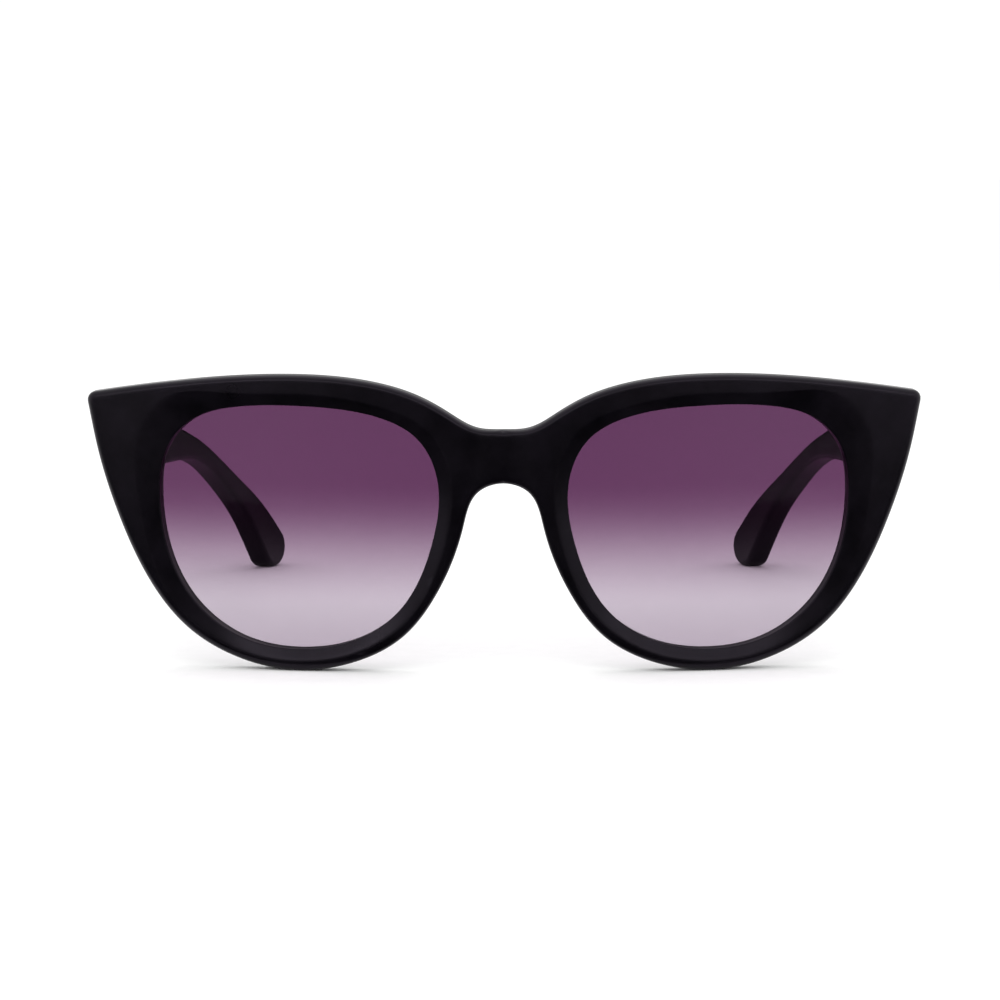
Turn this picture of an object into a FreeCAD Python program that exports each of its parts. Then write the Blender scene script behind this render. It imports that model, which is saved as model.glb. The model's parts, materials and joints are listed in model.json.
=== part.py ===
import FreeCAD, Part
import math
import os

V = FreeCAD.Vector

# Cat eye sunglasses, open, standing on a table on the rims and the temple tips.
# Millimetres. +Z is up, the front looks along -Y, +X is the wearer's left.
# Everything is modelled with the front's foremost skin touching Y = 0; the last
# step moves it back so the origin is under the middle of the bounding box.
# The left side (+X) is modelled and the right side is its mirror image.

# Front
FACE_RADIUS = 240.0        # the front is a slice of a ball of this radius
FACE_CENTRE_Z = 27.0       # height of the ball's centre
FRONT_THICKNESS = 4.4
SCOOP_RADIUS = 18.5        # upright hollow across the bridge
SCOOP_DEPTH = 1.0
CUT_REACH = 40.0           # half length of the prisms that outlines are cut with

# Lenses
EYE_CENTRE_X = 35.3
EYE_CENTRE_Z = 25.0
BEVEL_DEPTH = 1.3          # how far the sloping rim face sinks toward the lens
LENS_INSET = 1.9           # front of the lens below the front's outer skin
LENS_THICKNESS = 1.7
LENS_BITE = 0.5            # how far the lens reaches into its groove
GROOVE_CLEARANCE = 0.05
EYE_REACH = (-3.0, 9.0)    # ends of the prisms cut along the eye axis
BEVEL_REACH = (-0.4, 3.2)  # ends of the tapering plug that cuts the band

# Temples, in the hinge frame: u back along the temple, v up, w outward
TILT = 5.5                 # degrees the temples fall toward the back
HINGE_X = 63.1
HINGE_Y = 21.0
TEMPLE_INNER = 2.2         # hinge axis to the temple's inner face
TEMPLE_THICKNESS = 4.4
TEMPLE_HALF_HEIGHT = 6.1   # at the hinge end
TEMPLE_FRONT = -1.7        # where the temple starts, ahead of the hinge axis
TIP_RADIUS = 4.3           # round end of the ear hook
TIP_U = 118.5
TIP_V = -23.4
TIP_AIM = -40.0            # direction of the hook's far end, degrees above level
BLOCK_BACK = -2.0          # back face of the end block, ahead of the hinge axis
BLOCK_FRONT = -9.4
BLOCK_INNER = -2.3
BLOCK_EDGE = 1.0

# Temple core
CORE_HEIGHT = 2.0
CORE_THICKNESS = 1.2
# Middle line of the core, half way between the temple's edges: (u, v)
CORE_LINE = [(16, 0.0), (45, -0.7), (70, -2.0), (86, -4.5), (99, -9.6), (112, -17.8)]

# Hinge
KNUCKLE_RADIUS = 1.6
KNUCKLE_HEIGHT = 1.04
KNUCKLE_GAP = 0.2
KNUCKLE_COUNT = 5
WASHER_THICKNESS = 0.12
WASHER_RADIUS = 1.5
PIN_RADIUS = 0.7
BORE_RADIUS = 0.75
PIN_HEAD_RADIUS = 1.25
PIN_HEAD_HEIGHT = 0.55
LEAF_THICKNESS = 1.0       # front leaf
LEAF_HALF_WIDTH = 2.0
LEAF_HALF_HEIGHT = 5.5
ARM_THICKNESS = 0.9        # temple leaf
ARM_END = 14.0
LEAF_SCREW_V = 4.4
ARM_SCREWS_U = (6.0, 11.0)
SCREW_RADIUS = 0.5
SCREW_HEAD_RADIUS = 0.95
SCREW_HEAD_DEPTH = 0.5
SCREW_LENGTH = 2.6
SLOT_WIDTH = 0.25
SLOT_DEPTH = 0.2
SLOT_REACH = 2.0           # half length of a slot's cutter, longer than any head is wide

# The temple tips and the rims touch the table together, which sets the hinge height.
HINGE_Z = (TIP_RADIUS + TIP_U * math.sin(math.radians(TILT))
           - TIP_V * math.cos(math.radians(TILT)))

# The overall depth runs from the front's skin to the back of the temple tips.
DEPTH = (HINGE_Y + TIP_U * math.cos(math.radians(TILT))
         + TIP_V * math.sin(math.radians(TILT)) + TIP_RADIUS)

# Nose pads
PAD_CENTRE_X = 10.5
PAD_CENTRE_Z = 21.0
PAD_RAKE = 0.36            # how far the pad leans outward toward its foot
PAD_POINTS = 12
# Sections of the pad going back: (y, height, width, shift outward)
PAD_SECTIONS = [(4.3, 14.5, 2.8, 0.0), (6.3, 13.8, 2.5, 0.3), (8.8, 11.0, 1.8, 0.8)]

# Bends of the temple seen from above
TOE_IN = 2.6               # degrees
CURL_START = 65.0
CURL_RADIUS = 145.0
SLAB_STATIONS = (TEMPLE_FRONT, ARM_END, 40, 65, 85, 104, 126)

# Outline of the front, wearer's left half as seen from straight ahead: (X, Z)
BROW = [(0, 42.1), (4.4, 42.4), (9.2, 44.9), (14.5, 47.8), (22, 50.1), (36, 51.4),
        (49, 50.9), (60.3, 49.7), (71.45, 48.06)]
WING_TIP = (72.44, 47.43)
CHEEK = [(72.67, 46.28), (70.9, 38), (67.2, 26.5), (62, 15.5), (55.3, 7.2), (46.6, 2.1),
         (36.6, 0), (26.2, 1.5), (17.4, 6.2), (11.3, 14.2), (6.85, 25.5), (4.4, 31.35), (0, 32.9)]
MIDDLE_HEADING = V(1, 0, 0)            # the outline crosses the middle level
BROW_HEADING = V(0.985, 0, -0.17)      # into the rounded corner of the wing
CHEEK_HEADING = V(-0.2, 0, -0.98)      # and out of it

# Lens opening, anticlockwise from the temple side: (X, Z, width of the sloping band)
APERTURE = [(59.9, 30.5, 4.0), (58.6, 38.4, 5.6), (54.3, 43.3, 5.6), (46, 45.8, 2.6),
            (34, 46.0, 2.0), (22.5, 44.5, 1.8), (14.6, 40.4, 2.3), (11.3, 33.5, 2.3),
            (12.2, 22.8, 2.2), (18.2, 10.6, 2.1), (26.5, 5.2, 2.0), (35.2, 3.7, 2.0),
            (46, 5.7, 2.2), (55.0, 13.2, 2.8)]

# Side view of the temple: (u, v)
TEMPLE_TOP = [(TEMPLE_FRONT, TEMPLE_HALF_HEIGHT), (25, 4.7), (56, 2.0), (80.7, -1.1),
              (101, -7.9), (115.5, -15.4), (121.6, -20.4)]
TEMPLE_BOTTOM = [(115.5, -26.5), (106.2, -16.8), (96, -10.6), (83, -5.8), (60, -4.1),
                 (30, -5.0), (TEMPLE_FRONT, -TEMPLE_HALF_HEIGHT)]


def spline(points, start=None, end=None):
    """A smooth edge through the points, with its end directions where they matter."""
    curve = Part.BSplineCurve()
    if start is None:
        curve.interpolate(Points=points)
    else:
        curve.interpolate(Points=points, InitialTangent=start, FinalTangent=end)
    return curve.toShape()


def loop(points):
    """A smooth closed wire through the points, made of two open halves."""
    halves = []
    for first in (0, 1):
        curve = Part.BSplineCurve()
        curve.interpolate(Points=points, PeriodicFlag=True)
        low, high = curve.FirstParameter, curve.LastParameter
        middle = (low + high) / 2
        curve.segment(*((low, middle) if first == 0 else (middle, high)))
        halves.append(curve.toShape())
    return Part.Wire(halves)


def mirrored(shape):
    """The same shape on the wearer's other side."""
    return shape.mirror(V(0, 0, 0), V(1, 0, 0))


def extruded(edges, direction):
    """A solid swept straight from a closed run of edges."""
    wire = Part.Wire(Part.__sortEdges__(edges))
    return Part.Face(wire).extrude(direction)


def face_shell(inset, thickness):
    """The slice of the face ball between two depths below the outer skin."""
    centre = V(0, FACE_RADIUS, FACE_CENTRE_Z)
    outer = Part.makeSphere(FACE_RADIUS - inset, centre)
    inner = Part.makeSphere(FACE_RADIUS - inset - thickness, centre)
    return outer.cut(inner)


def face_y(x, z, inset=0.0):
    """Y of the face ball's skin, or of the layer a given depth below it."""
    radius = FACE_RADIUS - inset
    return FACE_RADIUS - math.sqrt(radius ** 2 - x ** 2 - (z - FACE_CENTRE_Z) ** 2)


# The eye frame: r across the lens, up, and d straight back into the rim. It is tangent
# to the face ball at the lens centre, so the rim is cut square to the lens.
EYE_TURN = math.asin(EYE_CENTRE_X / FACE_RADIUS)
EYE_ORIGIN = V(EYE_CENTRE_X, face_y(EYE_CENTRE_X, EYE_CENTRE_Z), EYE_CENTRE_Z)
EYE_ACROSS = V(math.cos(EYE_TURN), math.sin(EYE_TURN), 0)
EYE_BACK = V(-math.sin(EYE_TURN), math.cos(EYE_TURN), 0)


def rim_point(x, z, depth):
    """A point at a given depth in the front, where it is seen from straight ahead."""
    return V(x, face_y(x, z, depth), z)


def on_eye_plane(point, d):
    """The point slid along the eye axis to the plane d behind the eye origin."""
    return point + EYE_BACK * (d - (point - EYE_ORIGIN).dot(EYE_BACK))


def spread(x, z, distance):
    """A point of the lens outline moved away from the eye centre."""
    reach = math.hypot(x - EYE_CENTRE_X, z - EYE_CENTRE_Z)
    scale = 1 + distance / reach
    return EYE_CENTRE_X + (x - EYE_CENTRE_X) * scale, EYE_CENTRE_Z + (z - EYE_CENTRE_Z) * scale


def aperture_prism(grow):
    """The lens outline grown by an amount and swept along the eye axis."""
    start, end = EYE_REACH
    points = [on_eye_plane(rim_point(*spread(x, z, grow), BEVEL_DEPTH), start)
              for x, z, _ in APERTURE]
    return Part.Face(loop(points)).extrude(EYE_BACK * (end - start))


def bevel_cutter():
    """A tapering plug whose side is the sloping band around the lens."""
    rings = []
    for plane in BEVEL_REACH:
        ring = []
        for x, z, band in APERTURE:
            edge = rim_point(*spread(x, z, band), 0)
            foot = rim_point(x, z, BEVEL_DEPTH)
            slope = foot - edge
            start = (edge - EYE_ORIGIN).dot(EYE_BACK)
            ring.append(edge + slope * ((plane - start) / slope.dot(EYE_BACK)))
        rings.append(loop(ring))
    return Part.makeLoft(rings, True, True)


def front_plate():
    """Both rims and the bridge, cut from the face ball along their outline."""
    half = [spline([V(x, 0, z) for x, z in BROW], MIDDLE_HEADING, BROW_HEADING),
            Part.Arc(V(BROW[-1][0], 0, BROW[-1][1]), V(WING_TIP[0], 0, WING_TIP[1]),
                     V(CHEEK[0][0], 0, CHEEK[0][1])).toShape(),
            spline([V(x, 0, z) for x, z in CHEEK], CHEEK_HEADING, -MIDDLE_HEADING)]
    whole = half + [mirrored(edge) for edge in half]
    return extruded(whole, V(0, CUT_REACH, 0)).common(face_shell(0, FRONT_THICKNESS))


def bridge_scoop():
    """The upright hollow that thins the middle of the bridge."""
    foot = V(0, SCOOP_DEPTH - SCOOP_RADIUS, FACE_CENTRE_Z - CUT_REACH)
    return Part.makeCylinder(SCOOP_RADIUS, 2 * CUT_REACH, foot)


def eye_cutter():
    """Everything removed from the front for one lens: band, opening and groove."""
    opening = aperture_prism(0)
    ring = aperture_prism(LENS_BITE + GROOVE_CLEARANCE)
    groove = ring.common(face_shell(LENS_INSET - GROOVE_CLEARANCE,
                                    LENS_THICKNESS + 2 * GROOVE_CLEARANCE))
    return opening.fuse(bevel_cutter()).fuse(groove)


def lens():
    """One curved lens, larger than its opening by the bite into the groove."""
    return aperture_prism(LENS_BITE).common(face_shell(LENS_INSET, LENS_THICKNESS))


def nose_pad(front):
    """The pad behind the nasal side of one rim, shrinking as it stands off the back."""
    sections = []
    for out, height, width, lean in PAD_SECTIONS:
        ring = []
        for step in range(PAD_POINTS):
            angle = 2 * math.pi * step / PAD_POINTS
            z = PAD_CENTRE_Z + height / 2 * math.sin(angle)
            x = PAD_CENTRE_X + lean - PAD_RAKE * (z - PAD_CENTRE_Z) + width / 2 * math.cos(angle)
            ring.append(V(x, out, z))
        sections.append(loop(ring))
    return Part.makeLoft(sections, True, False).cut(front)


# The hinge frame is drawn upright at the world origin (x outward, y back, z up) and
# then tilted down toward the back and moved onto the hinge axis.
def at_hinge(shape):
    """Place a shape drawn in the hinge frame."""
    placed = shape.copy()
    placed.rotate(V(0, 0, 0), V(1, 0, 0), -TILT)
    placed.translate(V(HINGE_X, HINGE_Y, HINGE_Z))
    return placed


def box(x0, x1, y0, y1, z0, z1):
    """A box between two corners."""
    return Part.makeBox(x1 - x0, y1 - y0, z1 - z0, V(x0, y0, z0))


def knuckle_spans():
    """Bottom and top of each knuckle, lowest first."""
    pitch = KNUCKLE_HEIGHT + KNUCKLE_GAP
    bottom = -(KNUCKLE_COUNT * pitch - KNUCKLE_GAP) / 2
    return [(bottom + i * pitch, bottom + i * pitch + KNUCKLE_HEIGHT) for i in range(KNUCKLE_COUNT)]


def barrel(span, reach):
    """One knuckle: a bored barrel joined to its leaf by the box given by reach."""
    low, high = span
    x0, x1, y0, y1 = reach
    round_part = Part.makeCylinder(KNUCKLE_RADIUS, high - low, V(0, 0, low))
    bore = Part.makeCylinder(BORE_RADIUS, high - low, V(0, 0, low))
    return round_part.fuse(box(x0, x1, y0, y1, low, high)).cut(bore)


def screw(point, direction, slotted=True):
    """A small flat-head screw with its head flush at the point."""
    head = Part.makeCone(SCREW_HEAD_RADIUS, SCREW_RADIUS, SCREW_HEAD_DEPTH, point, direction)
    shank = Part.makeCylinder(SCREW_RADIUS, SCREW_LENGTH, point, direction)
    body = head.fuse(shank)
    if slotted:
        half = SLOT_WIDTH / 2
        slot = box(-half, half, -SLOT_REACH, SLOT_REACH, -SLOT_DEPTH, SLOT_DEPTH)
        slot.Placement = FreeCAD.Placement(point, FreeCAD.Rotation(V(0, 0, 1), direction))
        body = body.cut(slot)
    return body


def front_screw_seats():
    """Where the two front leaf screws start and which way they go."""
    return [(V(0, BLOCK_BACK, v), V(0, -1, 0)) for v in (-LEAF_SCREW_V, LEAF_SCREW_V)]


def arm_screw_seats():
    """Where the two temple leaf screws start and which way they go."""
    return [(V(TEMPLE_INNER, u, 0), V(1, 0, 0)) for u in ARM_SCREWS_U]


def front_leaf_plate():
    """The plate let into the back of the end block."""
    return box(-LEAF_HALF_WIDTH, LEAF_HALF_WIDTH, BLOCK_BACK - LEAF_THICKNESS, BLOCK_BACK,
               -LEAF_HALF_HEIGHT, LEAF_HALF_HEIGHT)


def temple_leaf_plate():
    """The plate let into the temple's inner face."""
    half = knuckle_spans()[-1][1]
    return box(TEMPLE_INNER, TEMPLE_INNER + ARM_THICKNESS, TEMPLE_FRONT, ARM_END, -half, half)


def front_hinge_leaf():
    """Plate and the odd knuckles."""
    leaf = front_leaf_plate()
    reach = (-KNUCKLE_RADIUS, KNUCKLE_RADIUS, BLOCK_BACK, 0)
    for span in knuckle_spans()[::2]:
        leaf = leaf.fuse(barrel(span, reach))
    for point, direction in front_screw_seats():
        leaf = leaf.cut(screw(point, direction, slotted=False))
    return leaf


def temple_hinge_leaf():
    """Plate and the even knuckles."""
    leaf = temple_leaf_plate()
    reach = (0, TEMPLE_INNER, -KNUCKLE_RADIUS, KNUCKLE_RADIUS)
    for span in knuckle_spans()[1::2]:
        leaf = leaf.fuse(barrel(span, reach))
    for point, direction in arm_screw_seats():
        leaf = leaf.cut(screw(point, direction, slotted=False))
    return leaf


def hinge_screw():
    """The hinge pin with a slotted head on top."""
    spans = knuckle_spans()
    low, high = spans[0][0], spans[-1][1]
    pin = Part.makeCylinder(PIN_RADIUS, high - low, V(0, 0, low))
    head = Part.makeCylinder(PIN_HEAD_RADIUS, PIN_HEAD_HEIGHT, V(0, 0, high))
    half = SLOT_WIDTH / 2
    top = high + PIN_HEAD_HEIGHT
    slot = box(-half, half, -SLOT_REACH, SLOT_REACH, top - SLOT_DEPTH, top + SLOT_DEPTH)
    return pin.fuse(head).cut(slot)


def hinge_washers():
    """One thin washer centred in each gap between knuckles."""
    spans = knuckle_spans()
    washers = []
    for below, above in zip(spans, spans[1:]):
        low = (below[1] + above[0] - WASHER_THICKNESS) / 2
        disc = Part.makeCylinder(WASHER_RADIUS, WASHER_THICKNESS, V(0, 0, low))
        washers.append(disc.cut(Part.makeCylinder(BORE_RADIUS, WASHER_THICKNESS, V(0, 0, low))))
    return Part.makeCompound(washers)


def end_block():
    """The lug behind the front's outer corner, its outer long edges rounded."""
    outer = TEMPLE_INNER + TEMPLE_THICKNESS
    block = box(BLOCK_INNER, outer, BLOCK_FRONT, BLOCK_BACK,
                -TEMPLE_HALF_HEIGHT, TEMPLE_HALF_HEIGHT)
    edges = [edge for edge in block.Edges
             if edge.BoundBox.YLength > 1 and edge.BoundBox.XMin > 0]
    return block.makeFillet(BLOCK_EDGE, edges)


def inner_face(u, inset=0.0):
    """x of the temple's inner face at u: straight, then toed in, then curled to the head."""
    toe = max(0.0, u - ARM_END) * math.tan(math.radians(TOE_IN))
    curl = max(0.0, u - CURL_START) ** 2 / (2 * CURL_RADIUS)
    return TEMPLE_INNER + inset - toe - curl


def arm_slab(inset, thickness):
    """The curved upright slab, seen from above, that an arm is cut from."""
    inner = [V(inner_face(u, inset), u, -CUT_REACH) for u in SLAB_STATIONS]
    outer = [point + V(thickness, 0, 0) for point in inner]
    start, end = inner[0], inner[-1]
    edges = [spline(inner[1:]), spline(outer[1:]),
             Part.makeLine(start, inner[1]), Part.makeLine(outer[0], outer[1]),
             Part.makeLine(start, outer[0]), Part.makeLine(end, outer[-1])]
    return extruded(edges, V(0, 0, 2 * CUT_REACH))


def temple_profile():
    """Side view of the temple: a tapering bar that ends in a round-tipped hook."""
    top = [V(-CUT_REACH, u, v) for u, v in TEMPLE_TOP]
    bottom = [V(-CUT_REACH, u, v) for u, v in TEMPLE_BOTTOM]
    aim = math.radians(TIP_AIM)
    far = V(-CUT_REACH, TIP_U, TIP_V) + V(0, math.cos(aim), math.sin(aim)) * TIP_RADIUS
    edges = [spline(top), Part.Arc(top[-1], far, bottom[0]).toShape(),
             spline(bottom), Part.makeLine(bottom[-1], top[0])]
    return extruded(edges, V(2 * CUT_REACH, 0, 0))


def core_profile():
    """Side view of the wire inside the temple."""
    upper = [V(-CUT_REACH, u, v + CORE_HEIGHT / 2) for u, v in CORE_LINE]
    lower = [point - V(0, 0, CORE_HEIGHT) for point in upper]
    edges = [spline(upper), spline(lower), Part.makeLine(upper[0], lower[0]),
             Part.makeLine(upper[-1], lower[-1])]
    return extruded(edges, V(2 * CUT_REACH, 0, 0))


def temple_core():
    """The flat wire inside the temple."""
    inset = (TEMPLE_THICKNESS - CORE_THICKNESS) / 2
    return core_profile().common(arm_slab(inset, CORE_THICKNESS))


def temple(core):
    """The arm with its hook, with room for the leaf, its screws and the core."""
    arm = temple_profile().common(arm_slab(0, TEMPLE_THICKNESS))
    arm = arm.cut(temple_leaf_plate()).cut(core)
    for point, direction in arm_screw_seats():
        arm = arm.cut(screw(point, direction, slotted=False))
    return arm


def front(block):
    """The front with its end block, lens openings and hinge recess, one side at a time."""
    body = front_plate().cut(bridge_scoop())
    for side in (lambda shape: shape, mirrored):
        body = body.fuse(side(block)).cut(side(eye_cutter()))
        body = body.cut(side(at_hinge(front_leaf_plate())))
        for point, direction in front_screw_seats():
            body = body.cut(side(at_hinge(screw(point, direction, slotted=False))))
    return body


def main():
    body = front(at_hinge(end_block()))
    core = temple_core()
    left = {
        "lens": lens(),
        "nose_pad": nose_pad(body),
        "front_hinge_leaf": at_hinge(front_hinge_leaf()),
        "front_leaf_screws": at_hinge(Part.makeCompound([screw(*s) for s in front_screw_seats()])),
        "hinge_screw": at_hinge(hinge_screw()),
        "hinge_washers": at_hinge(hinge_washers()),
        "temple": at_hinge(temple(core)),
        "temple_core": at_hinge(core),
        "temple_hinge_leaf": at_hinge(temple_hinge_leaf()),
        "temple_leaf_screws": at_hinge(Part.makeCompound([screw(*s) for s in arm_screw_seats()])),
    }
    nodes = {"frame_front": body}
    for name, shape in left.items():
        nodes[name + "_left"] = shape
        nodes[name + "_right"] = mirrored(shape)
    os.makedirs("parts", exist_ok=True)
    for name, shape in nodes.items():
        shape.translate(V(0, -DEPTH / 2, 0))
        shape.exportStep("parts/" + name + ".step")
        print(f"{name:26s} solids {len(shape.Solids)} valid {shape.isValid()} volume {shape.Volume:9.2f}")
    print(f"depth {DEPTH:.3f}")
    print(f"hinge axis through x {HINGE_X:.3f} y {HINGE_Y - DEPTH / 2:.3f} z {HINGE_Z:.3f}")


main()
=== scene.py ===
import json
import math

import bmesh
import bpy
import numpy as np
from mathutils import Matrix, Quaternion, Vector


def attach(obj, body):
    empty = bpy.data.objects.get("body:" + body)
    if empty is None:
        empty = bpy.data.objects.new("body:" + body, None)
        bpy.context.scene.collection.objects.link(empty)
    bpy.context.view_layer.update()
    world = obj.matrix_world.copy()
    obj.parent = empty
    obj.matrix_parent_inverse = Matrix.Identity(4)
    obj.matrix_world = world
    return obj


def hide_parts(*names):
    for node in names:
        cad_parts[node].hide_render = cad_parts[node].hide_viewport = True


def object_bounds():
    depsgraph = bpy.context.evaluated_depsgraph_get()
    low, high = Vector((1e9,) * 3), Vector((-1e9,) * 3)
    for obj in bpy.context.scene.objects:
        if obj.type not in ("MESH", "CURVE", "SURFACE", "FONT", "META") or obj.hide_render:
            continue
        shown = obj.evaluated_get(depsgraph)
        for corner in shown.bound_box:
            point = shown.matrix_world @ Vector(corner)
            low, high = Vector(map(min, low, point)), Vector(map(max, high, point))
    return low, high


# Cat eye sunglasses: the looks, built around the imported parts. Metres.
# +Z is up, the front looks along -Y and +X is the wearer's left. The left half of each
# pair is modelled and the right half is its mirror image.

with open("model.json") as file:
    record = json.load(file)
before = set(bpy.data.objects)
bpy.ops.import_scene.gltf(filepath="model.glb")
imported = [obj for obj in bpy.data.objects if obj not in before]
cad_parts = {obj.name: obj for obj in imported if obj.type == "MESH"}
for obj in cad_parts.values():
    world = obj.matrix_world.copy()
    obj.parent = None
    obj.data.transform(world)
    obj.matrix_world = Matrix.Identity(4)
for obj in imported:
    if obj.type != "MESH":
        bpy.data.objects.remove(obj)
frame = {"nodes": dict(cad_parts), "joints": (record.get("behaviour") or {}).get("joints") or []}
CAD_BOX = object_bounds()
JOINT = next(j for j in frame["joints"] if j["child"] == "temple_left")
HINGE = Vector(JOINT["pos_m"])
TILT = math.atan2(JOINT["axis"][1], JOINT["axis"][2])

# The front: a slice of a ball, so every point of it has a depth below the outer skin.
FACE_RADIUS = 0.240
FACE_CENTRE_Z = 0.027
SKIN_Y = HINGE.y - 0.021
FRONT_THICKNESS = 0.0044
FACE_ROUND = 0.0011        # rounding of the outer edge, face side
BACK_ROUND = 0.0009
SCOOP_RADIUS = 0.0185      # upright hollow across the bridge
SCOOP_DEPTH = 0.0010
SCOOP_BLEND = 0.00012
EYE_X = 0.0353
EYE_Z = 0.025
EYE_TURN = math.asin(EYE_X / FACE_RADIUS)
BEVEL_DEPTH = 0.0013
BEVEL_BLEND = 0.00015      # rounding of the crease between face and band
RIM_BACK_ROUND = 0.0004
LENS_INSET = 0.0019
LENS_THICKNESS = 0.0017
LENS_BITE = 0.00035

# Outline of the wearer's left half of the front: (X, Z)
BROW = [(0, .0421), (.0044, .0424), (.0092, .0449), (.0145, .0478), (.022, .0501),
        (.036, .0514), (.049, .0509), (.0603, .0497), (.07145, .04806)]
WING_TIP = (.07244, .04743)
CHEEK = [(.07267, .04628), (.0709, .038), (.0672, .0265), (.062, .0155), (.0553, .0072),
         (.0466, .0021), (.0366, 0), (.0262, .0015), (.0174, .0062), (.0113, .0142),
         (.00685, .0255), (.0044, .03135), (0, .0329)]

# Lens opening, anticlockwise from the temple side: (X, Z, width of the sloping band)
APERTURE = [(.0599, .0305, .0040), (.0586, .0384, .0056), (.0543, .0433, .0056),
            (.046, .0458, .0026), (.034, .0460, .0020), (.0225, .0445, .0018),
            (.0146, .0404, .0023), (.0113, .0335, .0023), (.0122, .0228, .0022),
            (.0182, .0106, .0021), (.0265, .0052, .0020), (.0352, .0037, .0020),
            (.046, .0057, .0022), (.0550, .0132, .0028)]

# Where mesh columns run from the lens opening to the outline: (outline point, opening point)
COLUMNS = [((0, .0329), (.0114, .0343)), ((.00685, .0255), (.0118, .0255)),
           ((.0113, .0142), (.0160, .0136)), ((.0366, 0), (.0355, .0037)),
           ((.062, .0155), (.0567, .0158)), ((.07244, .04743), (.0569, .0410)),
           ((.036, .0514), (.036, .0461)), ((.0092, .0449), (.0150, .0407)),
           ((0, .0421), (.0128, .0382))]
COLUMN_STEP = 0.00055

# Temple, in the hinge frame: u back along the temple, v up, w outward
TEMPLE_INNER = 0.0022
TEMPLE_THICKNESS = 0.0044
TEMPLE_HALF_HEIGHT = 0.0061
TEMPLE_FRONT = -0.0017
TEMPLE_ROUND = 0.0009
END_ROUND = 0.0003
TOE_IN = math.radians(2.6)
TOE_START = 0.014
CURL_START = 0.065
CURL_RADIUS = 0.145
TIP = (0.1185, -0.0234)
TIP_RADIUS = 0.0043
TIP_AIM = math.radians(-40)
TEMPLE_TOP = [(TEMPLE_FRONT, TEMPLE_HALF_HEIGHT), (.025, .0047), (.056, .0020),
              (.0807, -.0011), (.101, -.0079), (.1155, -.0154), (.1216, -.0204)]
TEMPLE_BOTTOM = [(TEMPLE_FRONT, -TEMPLE_HALF_HEIGHT), (.030, -.0050), (.060, -.0041),
                 (.083, -.0058), (.096, -.0106), (.1062, -.0168), (.1155, -.0265)]

# End block and hinge leaves, in the hinge frame
BLOCK_INNER = -0.0023
BLOCK_FRONT = -0.0094
BLOCK_BACK = -0.0020
LEAF_HALF_WIDTH = 0.0020
LEAF_HALF_HEIGHT = 0.0055
LEAF_THICKNESS = 0.0010
ARM_THICKNESS = 0.0009     # the flat arm of the leaf that is let into the temple
ARM_END = 0.014
ARM_HALF_HEIGHT = 0.0030

# Nose pads
PAD_X = 0.0105
PAD_Z = 0.021
PAD_RAKE = 0.36            # how far the pad leans outward toward its foot
PAD_SECTIONS = [(.0041, .0145, .0028, 0), (.0063, .0138, .0025, .0003),
                (.0088, .0110, .0018, .0008)]     # (way back from the skin, height, width, lean)
PAD_ROUND = 0.0009

# Mesh rows, as shares of the way across: close together where the surface turns
BAND_STEPS = (0, .06, .2, .4, .6, .8, .9, .95, 1.0)
FACE_STEPS = (.02, .05, .10, .2, .35, .5, .65, .8, .93)
EDGE_STEPS = (0, .03, .09, .18, .30, .45, .62, .80, 1.0)
LENS_STEPS = (1, .995, .98, .95, .9, .8, .7, .6, .5, .4, .3, .2, .1, .04)
TEMPLE_STEPS = (.15, .3, .45, .55, .7, .85)
WALL_STEPS = (.25, .5, .75)
OUTER_WALL_STEPS = (.2, .4, .6, .8)
MIDDLE_COLUMNS = 40
LENS_COLUMNS = 260
TEMPLE_COLUMNS = 230
TIP_COLUMNS = 40
PAD_COLUMNS = 56
PAD_ROWS = 14
PAD_DOME_ROWS = 8
WELD_DISTANCE = 2e-6
RECESS_SLACK = 0.00003     # air round a hinge leaf in its recess
BOX_FACES = [(0, 1, 3, 2), (4, 6, 7, 5), (0, 4, 5, 1), (2, 3, 7, 6), (0, 2, 6, 4), (1, 5, 7, 3)]

# Edges of the hinge parts
METAL_EDGE = 0.00006
METAL_EDGE_ANGLE = math.radians(40)

# Materials: colours, and how rough each polish is (0 is a mirror)
ACETATE_DARK = (.0013, .0010, .0018)
ACETATE_LIGHT = (.0034, .0026, .0044)
WORN_EDGE = (.016, .014, .018)
SHEEN_TINT = (.92, .80, 1.0)
LENS_DARK = (.112, .0400, .100)       # what the lens lets through at the top
LENS_PALE = (.530, .460, .535)        # and at the foot
LENS_SHINE = (.45, .43, .47)
TINT_LOW_Z = 0.0100
TINT_HIGH_Z = 0.0334
FRONT_ROUGHNESS = .31
TEMPLE_ROUGHNESS = .36
PAD_ROUGHNESS = .42
NYLON_DARK = (.62, .61, .57)
NYLON_LIGHT = (.74, .73, .70)
# Metals: (dark, light, roughness, how much the drawn lines are squeezed along each axis)
HINGE_METAL = ((.40, .385, .36), (.60, .585, .56), .27, (1, 7, 1))
CORE_METAL = ((.42, .40, .36), (.58, .56, .52), .30, (1, 9, 1))
SCREW_METAL = ((.44, .44, .45), (.66, .66, .67), .22, (6, 1, 1))

# Studio
FLOOR_HALF = 12.0
FLOOR_GAP = 0.00003
WORLD_COLOUR = (1.0, 1.0, 1.0)
WORLD_STRENGTH = 1.04
# Lamps: (name, place, size, watts)
LIGHTS = [("softbox_above", (0, .12, .75), (.8, .5), 1.2),
          ("softbox_back", (0, 1.1, .6), (1.6, .8), .7),
          ("strip_front", (0, -.30, .22), (.9, .03), .45)]
LIGHTS_AIM = (0, 0, .02)
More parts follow.
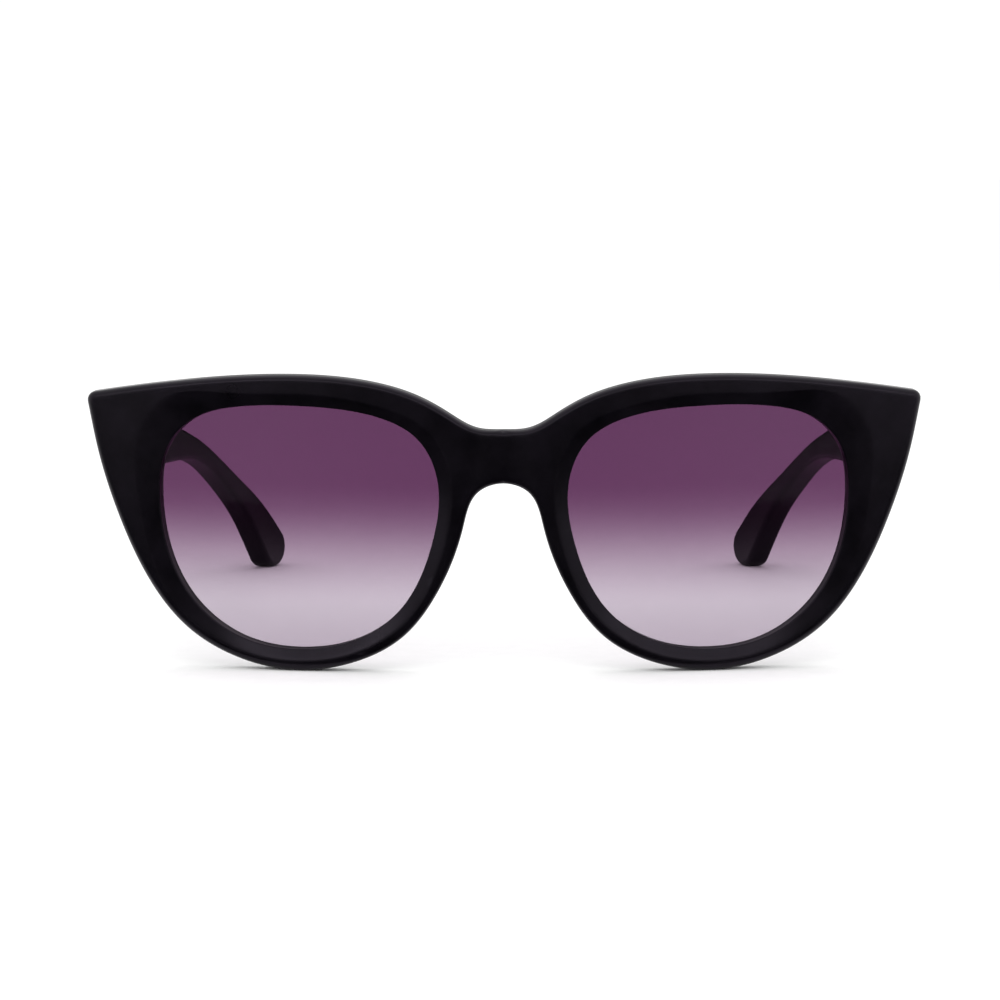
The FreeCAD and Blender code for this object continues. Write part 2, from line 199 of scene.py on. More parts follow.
# Cards that only reflections see: (name, corner, opposite corner, grey in the middle, grey at the
# sides, |X| where it starts to turn and ends). They lie on the floor in front, stand beyond it,
# and lie and stand behind.
CARD_Y = SKIN_Y - 0.26
BACK_Y = SKIN_Y + 0.36
CARD_Z = 0.0003
CARDS = [("card_lying", (-.55, SKIN_Y + .002, CARD_Z), (.55, CARD_Y, CARD_Z), .005, .005,
          (.03, .20)),
         ("card_upright", (-.55, CARD_Y, 0), (.55, CARD_Y, .42), .03, .34, (.03, .20)),
         ("card_between_temples", (-.05, SKIN_Y + .03, CARD_Z), (.05, BACK_Y, CARD_Z), .02, .95,
          (.006, .026)),
         ("card_behind", (-.10, BACK_Y, 0), (.10, BACK_Y, .12), .02, .02, (.03, .20))]
CAMERA_DISTANCE = 0.5
CAMERA_SIDE = 0.0050
CAMERA_HEIGHT = 0.0884
CAMERA_ROLL = math.radians(-.15)
CAMERA_LENS = 106.15       # both in millimetres, as lenses are named
CAMERA_SENSOR = 36
AIM_X = -0.00055
AIM_Z = 0.0303


# Curves and distances

def cubic(points, start=None, end=None, closed=False, steps=24):
    """Dense points on the smooth curve through a few points, spaced by chord length."""
    p = np.array(points, float)
    if closed:
        p = np.vstack([p, p, p, p[:1]])     # three turns, of which the middle one is kept
    h = np.linalg.norm(np.diff(p[:, :2], axis=0), axis=1)
    n = len(p)
    matrix, right = np.zeros((n, n)), np.zeros_like(p)
    for i in range(1, n - 1):
        matrix[i, i - 1:i + 2] = h[i], 2 * (h[i - 1] + h[i]), h[i - 1]
        right[i] = 3 * (h[i - 1] * (p[i + 1] - p[i]) / h[i] + h[i] * (p[i] - p[i - 1]) / h[i - 1])
    for row, inner, run, tangent in ((0, 1, 0, start), (n - 1, n - 2, n - 2, end)):
        if tangent is None:
            matrix[row, row], matrix[row, inner] = 2, 1
            right[row] = 3 * (p[run + 1] - p[run]) / h[run]
        else:
            matrix[row, row] = 1
            right[row] = tangent
    m = np.linalg.solve(matrix, right)
    t = np.linspace(0, 1, steps, endpoint=False)[:, None]
    runs = []
    for i in range(n - 1):
        runs.append((2 * t ** 3 - 3 * t ** 2 + 1) * p[i] + (t ** 3 - 2 * t ** 2 + t) * h[i] * m[i]
                    + (3 * t ** 2 - 2 * t ** 3) * p[i + 1] + (t ** 3 - t ** 2) * h[i] * m[i + 1])
    if closed:
        each = (n - 1) // 3
        return np.vstack(runs[each:2 * each])
    return np.vstack(runs + [p[-1:]])


def arc(start, middle, end, steps=16):
    """Dense points on the circle through three points."""
    (ax, ay), (bx, by), (cx, cy) = start, middle, end
    d = 2 * (ax * (by - cy) + bx * (cy - ay) + cx * (ay - by))
    ux = ((ax ** 2 + ay ** 2) * (by - cy) + (bx ** 2 + by ** 2) * (cy - ay)
          + (cx ** 2 + cy ** 2) * (ay - by)) / d
    uy = ((ax ** 2 + ay ** 2) * (cx - bx) + (bx ** 2 + by ** 2) * (ax - cx)
          + (cx ** 2 + cy ** 2) * (bx - ax)) / d
    radius = math.hypot(ax - ux, ay - uy)
    first, last = math.atan2(ay - uy, ax - ux), math.atan2(cy - uy, cx - ux)
    turn = (last - first + math.pi) % (2 * math.pi) - math.pi
    angles = first + turn * np.linspace(0, 1, steps)
    return np.stack([ux + radius * np.cos(angles), uy + radius * np.sin(angles)], 1)


def resample(points, count, include_last=False):
    """The curve again with evenly spaced points."""
    length = np.concatenate([[0], np.cumsum(np.linalg.norm(np.diff(points[:, :2], axis=0), axis=1))])
    wanted = np.linspace(0, length[-1], count + 1)
    if not include_last:
        wanted = wanted[:-1]
    return np.stack([np.interp(wanted, length, points[:, k]) for k in range(points.shape[1])], 1)


def distance_to(points, path):
    """Distance from each point to a path of short straight runs."""
    a, b = path[:-1], path[1:]
    run = b - a
    square = np.maximum((run ** 2).sum(1), 1e-18)
    nearest = []
    for block in np.array_split(points, max(1, len(points) // 2000)):
        t = np.clip(((block[:, None] - a) * run).sum(2) / square, 0, 1)
        gap = block[:, None] - (a + t[..., None] * run)
        nearest.append(np.sqrt((gap ** 2).sum(2).min(1)))
    return np.concatenate(nearest)


def rounding(distance, radius):
    """How far a rounded edge has fallen away at a distance inside the edge."""
    near = np.clip(1 - distance / radius, 0, 1)
    return radius * (1 - np.sqrt(1 - near ** 2))


def soft_positive(value, blend):
    """The value where it is positive and 0 where it is negative, with a rounded corner."""
    return (value + np.sqrt(value ** 2 + blend ** 2)) / 2


# Mesh pieces

def make_piece(name, points, faces, body, replaced, smooth=True):
    """A mesh object that rides on a body and stands for CAD nodes."""
    mesh = bpy.data.meshes.new(name)
    mesh.from_pydata([tuple(p) for p in points], [], faces)
    bm = bmesh.new()
    bm.from_mesh(mesh)
    bmesh.ops.remove_doubles(bm, verts=bm.verts, dist=WELD_DISTANCE)
    loose = [v for v in bm.verts if not v.link_faces]
    bmesh.ops.delete(bm, geom=loose, context="VERTS")
    bmesh.ops.recalc_face_normals(bm, faces=bm.faces)
    bm.to_mesh(mesh)
    bm.free()
    if smooth:
        mesh.polygons.foreach_set("use_smooth", [True] * len(mesh.polygons))
    piece = bpy.data.objects.new(name, mesh)
    bpy.context.scene.collection.objects.link(piece)
    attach(piece, body)
    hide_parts(*replaced)
    return piece


def side_name(side):
    """The wearer's left at +X, right at -X."""
    return "left" if side > 0 else "right"


def mirrored_points(points):
    """The same points on the wearer's other side."""
    return np.asarray(points) * np.array([-1, 1, 1])


def grid_faces(columns, rows, closed_columns, closed_rows, skip=lambda c, r: False):
    """Quads between neighbouring columns and rows, columns counted first."""
    faces = []
    for c in range(columns if closed_columns else columns - 1):
        for r in range(rows if closed_rows else rows - 1):
            if not skip(c, r):
                c2, r2 = (c + 1) % columns, (r + 1) % rows
                faces.append((c * rows + r, c2 * rows + r, c2 * rows + r2, c * rows + r2))
    return faces


def box_corners(box):
    """The eight corners of a box, in the order that BOX_FACES counts them."""
    across, along, up = box
    return [(w, u, v) for w in across for u in along for v in up]


def cut_box(piece, box, side):
    """Cut a box given in the hinge frame out of a piece."""
    mesh = bpy.data.meshes.new("cutter")
    mesh.from_pydata([tuple(p) for p in from_hinge(box_corners(box), side)], [], BOX_FACES)
    bm = bmesh.new()
    bm.from_mesh(mesh)
    bmesh.ops.recalc_face_normals(bm, faces=bm.faces)
    bm.to_mesh(mesh)
    bm.free()
    cutter = bpy.data.objects.new("cutter", mesh)
    bpy.context.scene.collection.objects.link(cutter)
    modifier = piece.modifiers.new("recess", "BOOLEAN")
    modifier.operation = "DIFFERENCE"
    modifier.object = cutter
    modifier.solver = "EXACT"
    depsgraph = bpy.context.evaluated_depsgraph_get()
    result = bpy.data.meshes.new_from_object(piece.evaluated_get(depsgraph))
    piece.modifiers.clear()
    piece.data = result
    bpy.data.objects.remove(cutter)


def from_hinge(points, side):
    """Points of the hinge frame (w, u, v) placed on one side of the object."""
    w, u, v = np.asarray(points, float).T
    y = HINGE.y + u * math.cos(TILT) + v * math.sin(TILT)
    z = HINGE.z - u * math.sin(TILT) + v * math.cos(TILT)
    return np.stack([side * (HINGE.x + w), y, z], 1)


# The front

def skin_y(x, z, depth=0.0):
    """Y of the layer a depth below the ball's outer skin."""
    return SKIN_Y + FACE_RADIUS - np.sqrt((FACE_RADIUS - depth) ** 2 - x ** 2
                                          - (z - FACE_CENTRE_Z) ** 2)


def spread(points, distance):
    """Outline points moved away from the eye centre."""
    offset = points - np.array([EYE_X, EYE_Z])
    reach = np.linalg.norm(offset, axis=1, keepdims=True)
    return points + offset / reach * np.reshape(distance, (-1, 1))


def between(path, start, end):
    """The stretch of a closed path from one point to another, going forward."""
    first = int(np.argmin(np.linalg.norm(path[:, :2] - start, axis=1)))
    last = int(np.argmin(np.linalg.norm(path[:, :2] - end, axis=1)))
    if last <= first:
        last += len(path)
    return path[np.arange(first, last + 1) % len(path)]


def front_outline():
    """The left half's outline from the nose arch round to the middle of the brow."""
    brow = cubic(BROW, start=(1, 0), end=(.987, -.163))
    cheek = cubic(CHEEK, start=(-.204, -.979), end=(-1, 0))
    corner = arc(CHEEK[0], WING_TIP, BROW[-1])
    return np.vstack([cheek[::-1], corner[1:-1], brow[::-1]])


def front_columns(outline):
    """Matching points on the opening, the band's outer edge and the outline."""
    middle_z = np.linspace(BROW[0][1], CHEEK[-1][1], MIDDLE_COLUMNS)
    middle = np.stack([np.zeros(MIDDLE_COLUMNS), middle_z], 1)
    closed = np.vstack([outline, middle[1:-1]])
    opening = np.array(APERTURE)
    edge = np.column_stack([spread(opening[:, :2], opening[:, 2]), opening[:, 2]])
    inner = np.hstack([cubic(opening, closed=True), cubic(edge, closed=True)[:, :2]])
    inners, outers, on_middle = [], [], []
    pairs = COLUMNS + COLUMNS[:1]
    for (out_a, in_a), (out_b, in_b) in zip(pairs, pairs[1:]):
        stretch = between(closed, out_a, out_b)
        length = np.linalg.norm(np.diff(stretch, axis=0), axis=1).sum()
        count = max(8, int(length / COLUMN_STEP))
        outers.append(resample(stretch, count))
        inners.append(resample(between(inner, in_a, in_b), count))
        crossing = out_b == COLUMNS[0][0]
        on_middle += [crossing] * count
    return np.vstack(inners), np.vstack(outers), np.array(on_middle)


def front_points(inner, outer, outline):
    """Points of one half of the front, column by column, once round its section.

    A row holds flat points, how far the band's slope lies below the skin there (negative on the
    face, which the slope clears) and the way from the opening.
    """
    opening, edge = inner[:, :2], inner[:, 3:5]
    band = np.linalg.norm(edge - opening, axis=1)
    span = np.linalg.norm(outer - edge, axis=1)
    rows = []
    for t in BAND_STEPS:
        slope = BEVEL_DEPTH * (1 - t) * np.ones(len(edge))
        rows.append((opening + (edge - opening) * t, slope, t * band))
    rim = np.minimum(1.25 * FACE_ROUND, .8 * span)
    for f in FACE_STEPS:
        share = f * (span - rim) / span
        slope = -BEVEL_DEPTH * f * (span - rim) / band
        rows.append((edge + (outer - edge) * share[:, None], slope, band + share * span))
    for q in EDGE_STEPS[::-1]:
        share = (span - rim * q) / span
        slope = -BEVEL_DEPTH * share * span / band
        rows.append((edge + (outer - edge) * share[:, None], slope, band + share * span))
    flat = np.concatenate([row[0] for row in rows])
    slope = np.concatenate([row[1] for row in rows])
    along = np.concatenate([row[2] for row in rows])
    whole = np.tile(band + span, len(rows))
    lean = math.tan(EYE_TURN) * (1 - along / whole)
    off_edge = distance_to(flat, outline)
    x, z = flat[:, 0], flat[:, 1]

    hollow = np.sqrt(SCOOP_RADIUS ** 2 - np.minimum(np.abs(x), SCOOP_RADIUS * .9) ** 2)
    hollow = soft_positive(SKIN_Y + hollow - SCOOP_RADIUS + SCOOP_DEPTH - skin_y(x, z), SCOOP_BLEND)
    depth = soft_positive(slope, BEVEL_BLEND) + rounding(off_edge, FACE_ROUND) + hollow
    face = np.stack([x, skin_y(x, z) + depth, z], 1)

    back_depth = FRONT_THICKNESS - rounding(off_edge, BACK_ROUND) - rounding(along, RIM_BACK_ROUND)
    back_x = x - lean * (back_depth - BEVEL_DEPTH)
    back = np.stack([back_x, skin_y(back_x, z, FRONT_THICKNESS) - FRONT_THICKNESS + back_depth, z], 1)

    count = len(inner)
    face = face.reshape(len(rows), count, 3)
    back = back.reshape(len(rows), count, 3)
    section = list(face)
    for t in OUTER_WALL_STEPS:
        section.append(face[-1] * (1 - t) + back[-1] * t)
    section += list(back[::-1])
    for t in WALL_STEPS:
        section.append(back[0] * (1 - t) + face[0] * t)
    return np.stack(section, 1), len(rows)


def make_front():
    """Both rims and the bridge in one piece, with rounded edges and sloping bands."""
    outline = front_outline()
    inner, outer, on_middle = front_columns(outline)
    points, face_rows = front_points(inner, outer, outline)
    columns, rows = points.shape[:2]

    def inside_bridge(column, row):
        """True for the wall rows that would lie on the mirror plane."""
        return on_middle[column] and face_rows - 1 <= row < face_rows + len(OUTER_WALL_STEPS)

    faces = grid_faces(columns, rows, True, True, inside_bridge)
    left = points.reshape(-1, 3)
    both = np.vstack([left, mirrored_points(left)])
    count = len(left)
    faces += [tuple(i + count for i in face[::-1]) for face in faces]
    return make_piece("front_acetate", both, faces, "front", ["frame_front"])


def make_lens(side):
    """One curved lens whose edge sits in the rim."""
    opening = np.array(APERTURE)
    ring = resample(np.vstack([cubic(opening, closed=True)[:, :2], opening[:1, :2]]), LENS_COLUMNS)
    ring = spread(ring, np.full(len(ring), LENS_BITE))
    centre = np.array([EYE_X, EYE_Z])
    edge_round = LENS_THICKNESS * .12
    section = []
    for depth, order in ((LENS_INSET, LENS_STEPS[::-1]), (LENS_INSET + LENS_THICKNESS, LENS_STEPS)):
        for f in order:
            flat = centre + (ring - centre) * f
            x = flat[:, 0] - math.tan(EYE_TURN) * (depth - BEVEL_DEPTH)
            drop = edge_round * (f == 1) * (1 if depth == LENS_INSET else -1)
            section.append(np.stack([x, skin_y(x, flat[:, 1], depth) + drop, flat[:, 1]], 1))
    points = np.stack(section, 1)
    columns, rows = points.shape[:2]
    faces = grid_faces(columns, rows, True, False)
    flat_points = points.reshape(-1, 3)
    faces.append(tuple(c * rows for c in range(columns)))
    faces.append(tuple(c * rows + rows - 1 for c in range(columns))[::-1])
    name = side_name(side)
    if side < 0:
        flat_points = mirrored_points(flat_points)
    return make_piece("tinted_lens_" + name, flat_points, faces, "front", ["lens_" + name])


# The temples

def inner_face(u):
    """w of the temple's inner face: straight, then toed in, then curled to the head."""
    toe = np.maximum(0, u - TOE_START) * math.tan(TOE_IN)
    curl = np.maximum(0, u - CURL_START) ** 2 / (2 * CURL_RADIUS)
    return TEMPLE_INNER - toe - curl


def temple_edges():
    """The top and bottom edges from the hinge to the far point of the round tip."""
    top, bottom = cubic(TEMPLE_TOP), cubic(TEMPLE_BOTTOM)
    far = (TIP[0] + TIP_RADIUS * math.cos(TIP_AIM), TIP[1] + TIP_RADIUS * math.sin(TIP_AIM))
    round_tip = arc(TEMPLE_TOP[-1], far, TEMPLE_BOTTOM[-1], steps=2 * TIP_COLUMNS + 1)
    tip_top, tip_bottom = round_tip[:TIP_COLUMNS + 1], round_tip[TIP_COLUMNS:][::-1]
    edges = []
    for path, tip_half in ((top, tip_top), (bottom, tip_bottom)):
        arm = resample(path, TEMPLE_COLUMNS)
        first, step = arm[:1], arm[1] - arm[0]
        tip = resample(tip_half, TIP_COLUMNS, include_last=True)
        edges.append(np.vstack([first, first + step * .15, first + step * .4, arm[1:], tip]))
    outline = np.vstack([top, round_tip[1:-1], bottom[::-1]])
    return edges[0], edges[1], outline


def make_temple(side):
    """One arm with its ear hook and the recess for its hinge leaf."""
    top, bottom, outline = temple_edges()
    span = np.linalg.norm(bottom - top, axis=1)
    rim = np.minimum(1.2 * TEMPLE_ROUND, .45 * span)
    edge_shares = [rim * q / np.maximum(span, 1e-9) for q in EDGE_STEPS]
    low = edge_shares[-1]
    shares = edge_shares + [low + (1 - 2 * low) * f for f in TEMPLE_STEPS]
    shares += [1 - share for share in edge_shares[::-1]]
    flat = np.stack([top + (bottom - top) * share[:, None] for share in shares], 1)
    columns, rows = flat.shape[:2]
    points = flat.reshape(-1, 2)
    drop = rounding(distance_to(points, outline), TEMPLE_ROUND)
    drop = np.maximum(drop, rounding(points[:, 0] - TEMPLE_FRONT, END_ROUND))
    w = inner_face(points[:, 0])
    inner = np.column_stack([w + drop, points]).reshape(columns, rows, 3)
    outer = np.column_stack([w + TEMPLE_THICKNESS - drop, points]).reshape(columns, rows, 3)
    section = [inner[:, r] for r in range(rows)]
    section += [inner[:, -1] * (1 - t) + outer[:, -1] * t for t in WALL_STEPS]
    section += [outer[:, r] for r in range(rows)][::-1]
    section += [outer[:, 0] * (1 - t) + inner[:, 0] * t for t in WALL_STEPS]
    grid = np.stack(section, 1)
    total = grid.shape[1]
    faces = grid_faces(columns, total, False, True)
    faces.append(tuple(range(total)))
    name = side_name(side)
    piece = make_piece("temple_acetate_" + name, from_hinge(grid.reshape(-1, 3), side), faces,
                       "temple_" + name, ["temple_" + name])
    recess_half = ARM_HALF_HEIGHT + RECESS_SLACK
    cut_box(piece, ((0, TEMPLE_INNER + ARM_THICKNESS),
                    (TEMPLE_FRONT - .001, ARM_END + RECESS_SLACK),
                    (-recess_half, recess_half)), side)
    return piece


def make_end_block(side):
    """The lug behind the front's corner, with the recess for its hinge leaf."""
    bm = bmesh.new()
    box = ((BLOCK_INNER, TEMPLE_INNER + TEMPLE_THICKNESS), (BLOCK_FRONT, BLOCK_BACK),
           (-TEMPLE_HALF_HEIGHT, TEMPLE_HALF_HEIGHT))
    verts = [bm.verts.new(corner) for corner in box_corners(box)]
    for face in BOX_FACES:
        bm.faces.new([verts[i] for i in face])
    # in the hinge frame x is outward and y back, so these run along the outer side
    long_edges = [e for e in bm.edges if abs(e.verts[0].co.y - e.verts[1].co.y) > .001
                  and e.verts[0].co.x > 0]
    bmesh.ops.bevel(bm, geom=long_edges, offset=TEMPLE_ROUND, segments=8, affect="EDGES", profile=.5)
    back_edges = [e for e in bm.edges if all(abs(v.co.y - BLOCK_BACK) < 1e-6 for v in e.verts)]
    bmesh.ops.bevel(bm, geom=back_edges, offset=END_ROUND, segments=3, affect="EDGES", profile=.5)
    points = from_hinge([tuple(v.co) for v in bm.verts], side)
    faces = [tuple(v.index for v in face.verts) for face in bm.faces]
    bm.free()
    piece = make_piece("end_block_" + side_name(side), points, faces, "front",
                       ["frame_front"], smooth=False)
    half_width = LEAF_HALF_WIDTH + RECESS_SLACK
    half_height = LEAF_HALF_HEIGHT + RECESS_SLACK
    cut_box(piece, ((-half_width, half_width), (BLOCK_BACK - LEAF_THICKNESS, 0),
                    (-half_height, half_height)), side)
    piece.data.polygons.foreach_set("use_smooth", [True] * len(piece.data.polygons))
    piece.data.set_sharp_from_angle(angle=math.radians(35))
    return piece


# The nose pads

def make_nose_pad(side):
    """The pad moulded behind one rim: rings that shrink backwards to a domed end."""
    given = np.array(PAD_SECTIONS)
    first, last = given[0, 0], given[-1, 0]
    dome = PAD_ROUND * np.sin(np.linspace(0, math.pi / 2, PAD_DOME_ROWS))
    outs = np.concatenate([np.linspace(first, last - PAD_ROUND, PAD_ROWS), last - PAD_ROUND + dome[1:]])
    angles = np.linspace(0, 2 * math.pi, PAD_COLUMNS, endpoint=False)
    rings = []
    for out in outs:
        height, width, lean = (np.interp(out, given[:, 0], given[:, k]) for k in (1, 2, 3))
        shrink = 2 * rounding(last - out, PAD_ROUND)
        z = (height - shrink) / 2 * np.sin(angles)
        x = PAD_X + lean - PAD_RAKE * z + (width - .85 * shrink) / 2 * np.cos(angles)
        rings.append(np.stack([x, np.full(len(x), SKIN_Y + out), PAD_Z + z], 1))
    grid = np.stack(rings, 1)
    columns, rows = grid.shape[:2]
    faces = grid_faces(columns, rows, True, False)
    faces.append(tuple(c * rows for c in range(columns)))
    faces.append(tuple(c * rows + rows - 1 for c in range(columns))[::-1])
    points = grid.reshape(-1, 3)
    if side < 0:
        points = mirrored_points(points)
    name = side_name(side)
    return make_piece("pad_" + name, points, faces, "front", ["nose_pad_" + name])


# Materials

class Graph:
    """Short names for building one node material."""

    def __init__(self, name):
        self.material = bpy.data.materials.new(name)
        self.material.use_nodes = True
        self.tree = self.material.node_tree
        self.tree.nodes.clear()
        self.output = self.tree.nodes.new("ShaderNodeOutputMaterial")

    def node(self, kind, **inputs):
        """A node with some of its inputs set or linked.

        set_x=value sets the node's own property x, and i0, i1 and so on are inputs by number.
        """
        made = self.tree.nodes.new("ShaderNode" + kind)
        for key, value in inputs.items():
            if key.startswith("set_"):
                setattr(made, key[4:], value)
        for key, value in inputs.items():
            if key.startswith("set_"):
                continue
            socket = made.inputs[int(key[1:]) if key[0] == "i" and key[1:].isdigit() else key]
            if isinstance(value, bpy.types.NodeSocket):
                self.tree.links.new(value, socket)
            else:
                socket.default_value = value
        return made

    def coordinates(self):
        """The piece's own coordinates, in metres."""
        return self.node("TexCoord").outputs["Object"]

    def noise(self, scale, detail, stretch=(1, 1, 1)):
        """A noise value from 0 to 1 with features of about 1/scale metres."""
        mapping = self.node("Mapping", Vector=self.coordinates(), Scale=stretch)
        return self.node("TexNoise", Vector=mapping.outputs[0], Scale=scale, Detail=detail,
                         Roughness=.55).outputs[0]

    def ramp(self, value, low, high, to_low, to_high):
        """The value moved from one range to another, and held at the ends."""
        return self.node("MapRange", Value=value, **{"From Min": low, "From Max": high,
                                                    "To Min": to_low, "To Max": to_high}).outputs[0]

    def mix(self, share, first, second):
        """A colour between two colours."""
        made = self.node("Mix", set_data_type="RGBA")
        for socket, value in ((made.inputs[0], share), (made.inputs[6], first), (made.inputs[7], second)):
            if isinstance(value, bpy.types.NodeSocket):
                self.tree.links.new(value, socket)
            else:
                socket.default_value = value if isinstance(value, float) else (*value, 1)
        return made.outputs[2]

    def bump(self, height, strength, distance):
        """A bump from a height value."""
        return self.node("Bump", Height=height, Strength=strength, Distance=distance).outputs[0]

    def finish(self, shader):
        """Send a shader to the output."""
        self.tree.links.new(shader, self.output.inputs["Surface"])
        return self.material


def acetate(name, roughness):
    """Black cellulose acetate: satin polish, faint plum mottling, wipe marks, worn edges."""
    g = Graph(name)
    mottle = g.noise(160, 5)
    cloud = g.noise(38, 3)
    colour = g.mix(g.ramp(mottle, .35, .68, 0.0, 1.0), ACETATE_DARK, ACETATE_LIGHT)
    edge = g.ramp(g.node("NewGeometry").outputs["Pointiness"], .53, .60, 0.0, 1.0)
    worn = g.node("Math", set_operation="MULTIPLY", i0=edge, i1=g.ramp(g.noise(420, 4), .4, .7, 0.0, .5))
    colour = g.mix(worn.outputs[0], colour, WORN_EDGE)
    polish = g.ramp(cloud, .3, .7, roughness - .05, roughness + .05)
    wipes = g.noise(700, 3, stretch=(1, 1, 5))
    normal = g.bump(wipes, .08, .00002)
    shader = g.node("BsdfPrincipled", **{"Base Color": colour, "Roughness": polish, "IOR": 1.47,
                                         "Normal": normal, "Specular IOR Level": .24,
                                         "Specular Tint": (*SHEEN_TINT, 1)})
    return g.finish(shader.outputs[0])


def tinted_lens():
    """Gradient tint: deep plum over the top half, fading to a pale lilac at the foot.

    Light crosses the front and the back face, so each takes the square root of the tint.
    Only the face that it enters by shines, as the light inside meets the other one steeply.
    """
    g = Graph("lens_gradient_tint")
    height = g.node("SeparateXYZ", Vector=g.coordinates()).outputs[2]
    drift = g.ramp(g.noise(60, 2), 0, 1, -.0004, .0004)
    height = g.node("Math", set_operation="ADD", i0=height, i1=drift).outputs[0]
    share = g.node("MapRange", Value=height, set_interpolation_type="SMOOTHSTEP",
                   **{"From Min": TINT_LOW_Z, "From Max": TINT_HIGH_Z}).outputs[0]
    tint = g.mix(share, *([math.sqrt(c) for c in colour] for colour in (LENS_PALE, LENS_DARK)))
    clear = g.node("BsdfTransparent", Color=tint).outputs[0]
    smudge = g.ramp(g.noise(120, 4), .3, .75, .03, .10)
    gloss = g.node("BsdfGlossy", Color=(*LENS_SHINE, 1), Roughness=smudge).outputs[0]
    outside = g.node("Math", set_operation="SUBTRACT", i0=1.0,
                     i1=g.node("NewGeometry").outputs["Backfacing"]).outputs[0]
    shine = g.node("Math", set_operation="MULTIPLY", i0=g.node("Fresnel", IOR=1.45).outputs[0],
                   i1=outside).outputs[0]
    mixed = g.node("MixShader", i0=shine, i1=clear, i2=gloss).outputs[0]
    return g.finish(mixed)


def brushed_metal(name, dark, light, roughness, stretch):
    """Drawn and tumbled hinge metal with fine lines along one direction."""
    g = Graph(name)
    lines = g.noise(2600, 3, stretch=stretch)
    stain = g.noise(700, 4)
    colour = g.mix(g.ramp(stain, .35, .7, 0.0, 1.0), light, dark)
    polish = g.ramp(lines, .3, .7, roughness - .07, roughness + .09)
    shader = g.node("BsdfPrincipled", **{"Base Color": colour, "Metallic": 1.0, "Roughness": polish,
                                         "Normal": g.bump(lines, .25, .00001)})
    return g.finish(shader.outputs[0])


def nylon():
    """Milky washer nylon with a slightly grainy, waxy surface."""
    g = Graph("washer_nylon")
    grain = g.noise(4000, 4)
    colour = g.mix(g.ramp(grain, .3, .7, 0.0, 1.0), NYLON_DARK, NYLON_LIGHT)
    shader = g.node("BsdfPrincipled", **{"Base Color": colour, "Roughness": g.ramp(grain, .3, .7, .35, .5),
                                         "Normal": g.bump(grain, .2, .00001)})
    return g.finish(shader.outputs[0])


def studio_floor():
    """Matt white studio surface with the faintest texture."""
    g = Graph("studio_floor")
    weave = g.noise(300, 3)
    colour = g.mix(g.ramp(weave, .3, .7, 0.0, 1.0), (.955, .955, .955), (.98, .98, .98))
    shader = g.node("BsdfDiffuse", Color=colour)
    return g.finish(shader.outputs[0])


def card(name, middle, sides, fade):
    """Dull card with a faint tooth, fading from its middle grey to its side grey."""
    g = Graph(name)
    across = g.node("SeparateXYZ", Vector=g.coordinates()).outputs[0]
    across = g.node("Math", set_operation="ABSOLUTE", i0=across).outputs[0]
    share = g.node("MapRange", Value=across, set_interpolation_type="SMOOTHSTEP",
                   **{"From Min": fade[0], "From Max": fade[1]}).outputs[0]
    tooth = g.ramp(g.noise(500, 3), .3, .7, .95, 1)
    share = g.node("Math", set_operation="MULTIPLY", i0=share, i1=tooth).outputs[0]
    grey = g.mix(share, (middle,) * 3, (sides,) * 3)
    return g.finish(g.node("BsdfDiffuse", Color=grey).outputs[0])


def paint(piece, material):
    """Give a piece this one material."""
    piece.data.materials.clear()
    piece.data.materials.append(material)


# The studio

def stage_sheet(name, corners, material):
    """A flat part of the studio."""
    mesh = bpy.data.meshes.new(name)
    mesh.from_pydata(corners, [], [(0, 1, 2, 3)])
    sheet = bpy.data.objects.new(name, mesh)
    bpy.context.scene.collection.objects.link(sheet)
    paint(sheet, material)
    return sheet


def make_floor():
    """The pale floor, just under the rims and the temple tips."""
    z = CAD_BOX[0][2] - FLOOR_GAP
    corners = [(x * FLOOR_HALF, y * FLOOR_HALF, z) for x, y in ((-1, -1), (1, -1), (1, 1), (-1, 1))]
    stage_sheet("studio_floor", corners, studio_floor())


def make_cards():
    """Dark and grey cards that shape the reflections, out of the camera's sight."""
    for name, (x0, y0, z0), (x1, y1, z1), middle, sides, fade in CARDS:
        corners = [(x0, y0, z0), (x1, y0, z0), (x1, y1, z1), (x0, y1, z1)]
        sheet = stage_sheet(name, corners, card(name, middle, sides, fade))
        sheet.visible_camera = False
        sheet.visible_shadow = False
        sheet.visible_diffuse = False


def make_world():
    """Even white light from all round."""
    world = bpy.data.worlds.new("studio")
    world.use_nodes = True
    background = world.node_tree.nodes["Background"]
    background.inputs["Color"].default_value = (*WORLD_COLOUR, 1)
    background.inputs["Strength"].default_value = WORLD_STRENGTH
    bpy.context.scene.world = world


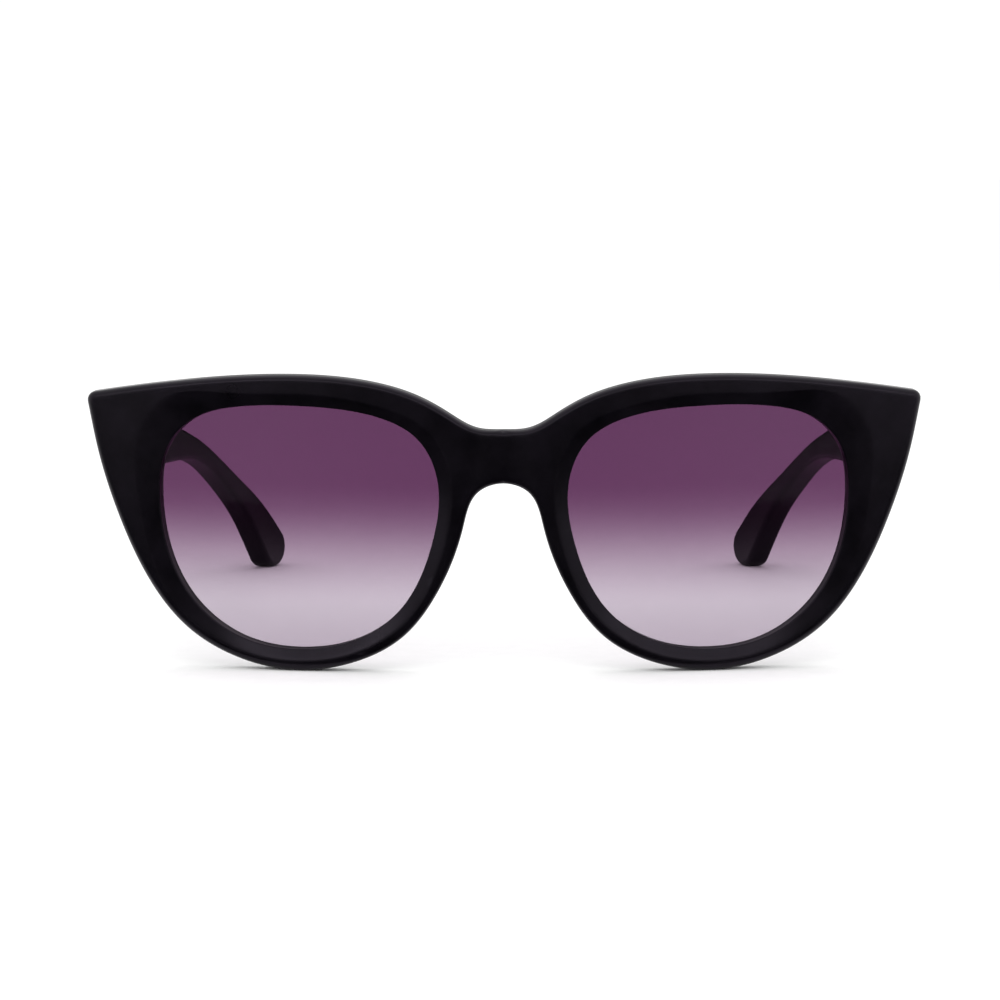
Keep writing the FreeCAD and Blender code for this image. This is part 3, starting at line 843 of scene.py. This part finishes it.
def make_lights():
    """Soft lamps aimed at the object, out of the camera's sight."""
    for name, place, size, power in LIGHTS:
        light = bpy.data.lights.new(name, "AREA")
        light.shape = "RECTANGLE"
        light.size, light.size_y = size
        light.energy = power
        lamp = bpy.data.objects.new(name, light)
        lamp.location = place
        lamp.rotation_euler = (Vector(LIGHTS_AIM) - Vector(place)).to_track_quat("-Z", "Y").to_euler()
        lamp.visible_camera = False
        bpy.context.scene.collection.objects.link(lamp)


def make_camera():
    """A long lens almost straight in front, looking slightly down."""
    data = bpy.data.cameras.new("camera")
    data.lens = CAMERA_LENS
    data.sensor_width = CAMERA_SENSOR
    data.clip_start = .01
    camera = bpy.data.objects.new("camera", data)
    aim = Vector((AIM_X, SKIN_Y, AIM_Z))
    camera.location = (AIM_X + CAMERA_SIDE, SKIN_Y - CAMERA_DISTANCE, CAMERA_HEIGHT)
    turn = (aim - camera.location).to_track_quat("-Z", "Y") @ Quaternion((0, 0, 1), CAMERA_ROLL)
    camera.rotation_euler = turn.to_euler()
    bpy.context.scene.collection.objects.link(camera)
    bpy.context.scene.camera = camera


# Build

acetate_front = acetate("acetate_front_black", FRONT_ROUGHNESS)
acetate_temple = acetate("acetate_temple_black", TEMPLE_ROUGHNESS)
acetate_pad = acetate("acetate_pad_black", PAD_ROUGHNESS)
lens_tint = tinted_lens()
hinge_metal = brushed_metal("hinge_nickel_silver", *HINGE_METAL)
core_metal = brushed_metal("core_wire_nickel", *CORE_METAL)
screw_metal = brushed_metal("screw_steel", *SCREW_METAL)
washer_nylon = nylon()

paint(make_front(), acetate_front)
for side in (1, -1):
    paint(make_end_block(side), acetate_front)
    paint(make_lens(side), lens_tint)
    paint(make_nose_pad(side), acetate_pad)
    paint(make_temple(side), acetate_temple)

# The CAD pieces that show as they are: each gets its own finish and softened edges.
CARRIED = {"hinge_leaf": hinge_metal, "screw": screw_metal, "washer": washer_nylon, "core": core_metal}
for node, piece in frame["nodes"].items():
    if piece.hide_render:
        continue
    finish = next(material for word, material in CARRIED.items() if word in node)
    paint(piece, finish)
    soften = piece.modifiers.new("softened_edges", "BEVEL")
    soften.width = METAL_EDGE
    soften.segments = 2
    soften.limit_method = "ANGLE"
    soften.angle_limit = METAL_EDGE_ANGLE

make_floor()
make_cards()
make_world()
make_lights()
make_camera()
bpy.context.scene.view_settings.view_transform = "Standard"
bpy.context.view_layer.update()
